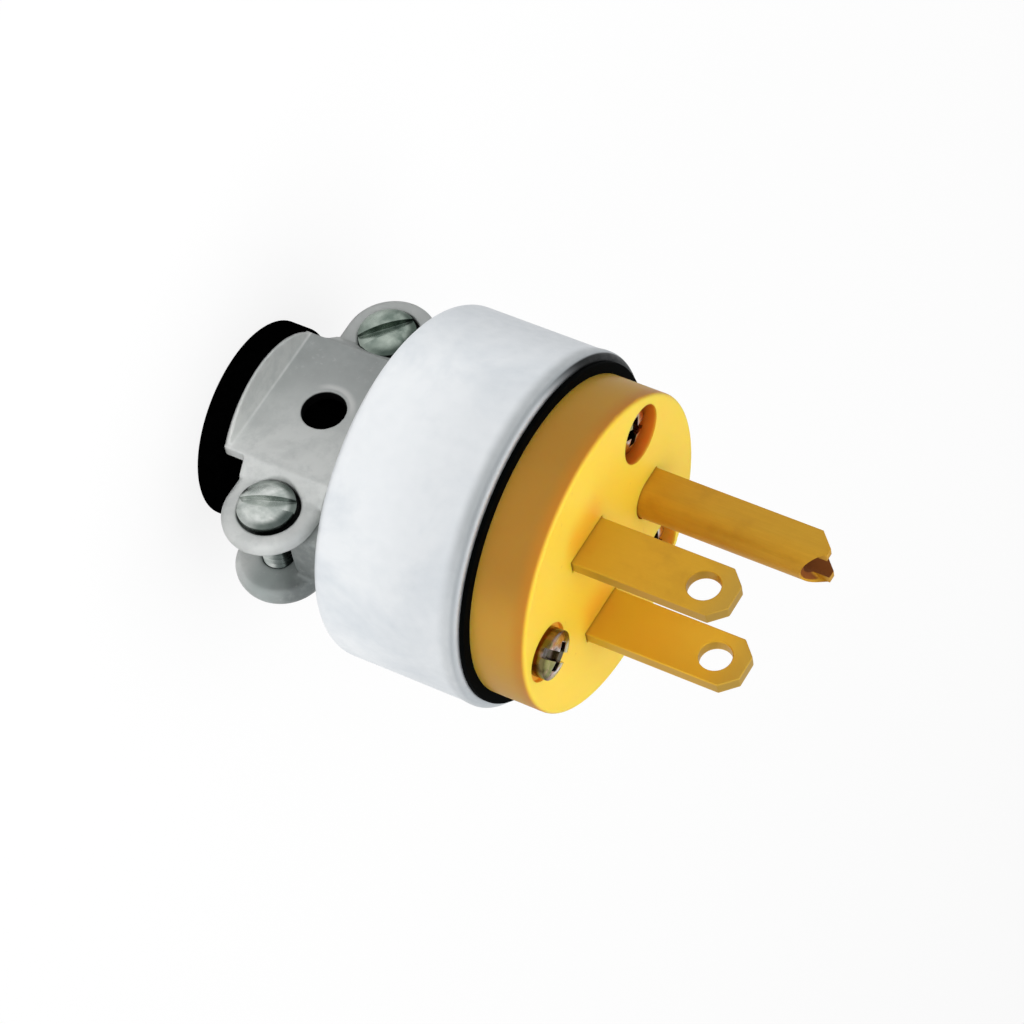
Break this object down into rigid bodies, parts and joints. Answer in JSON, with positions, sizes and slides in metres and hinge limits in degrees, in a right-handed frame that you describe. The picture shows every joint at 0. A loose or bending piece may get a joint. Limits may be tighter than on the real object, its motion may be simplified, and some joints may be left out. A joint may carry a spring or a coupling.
{
  "type": "polarized plug",
  "caption": "Metal-clad electrical plug with flat brass blades, a U-shaped ground pin, a yellow plastic face and a screw cord clamp over a rubber bushing.",
  "frame": {"origin": "centre of the flat end of the cord bushing, on the plug's axis", "axes": "+Z along the plug's axis from the cord to the prong tips; +Y from the axis to the ground pin; +X to the line blade"},
  "size_m": [0.0396, 0.0396, 0.0656],
  "materials": {
    "face_plastic": "satin moulded plastic",
    "block_plastic": "moulded, dull",
    "liner_fibre": "pressed fibre, dull",
    "shell_metal": "pale satin plating",
    "prong_brass": "stamped, drawn along the length",
    "plate_steel": "plated",
    "zinc_screw": "bright zinc",
    "brass_screw": "bright",
    "green_screw": "green dip",
    "chromate_screw": "yellow chromate with iridescent tints",
    "clamp_metal": "dull cast and pressed metal",
    "bushing_rubber": "matte"
  },
  "bodies": {
    "root": {"front_face": "face_plastic", "terminal_block": "block_plastic", "insulating_liner": "liner_fibre", "armour_shell": "shell_metal", "neutral_blade": "prong_brass", "line_blade": "prong_brass", "ground_pin": "prong_brass", "neutral_wire_plate": "plate_steel", "line_wire_plate": "plate_steel", "ground_wire_plate": "plate_steel", "neutral_terminal_screw": "zinc_screw", "line_terminal_screw": "brass_screw", "ground_terminal_screw": "green_screw", "assembly_screw_near": "chromate_screw", "assembly_screw_far": "chromate_screw", "assembly_screw_low": "chromate_screw", "clamp_base": "clamp_metal", "clamp_saddle": "clamp_metal", "clamp_screw_upper": "zinc_screw", "clamp_screw_lower": "zinc_screw", "cord_bushing": "bushing_rubber"}
  },
  "joints": []
}
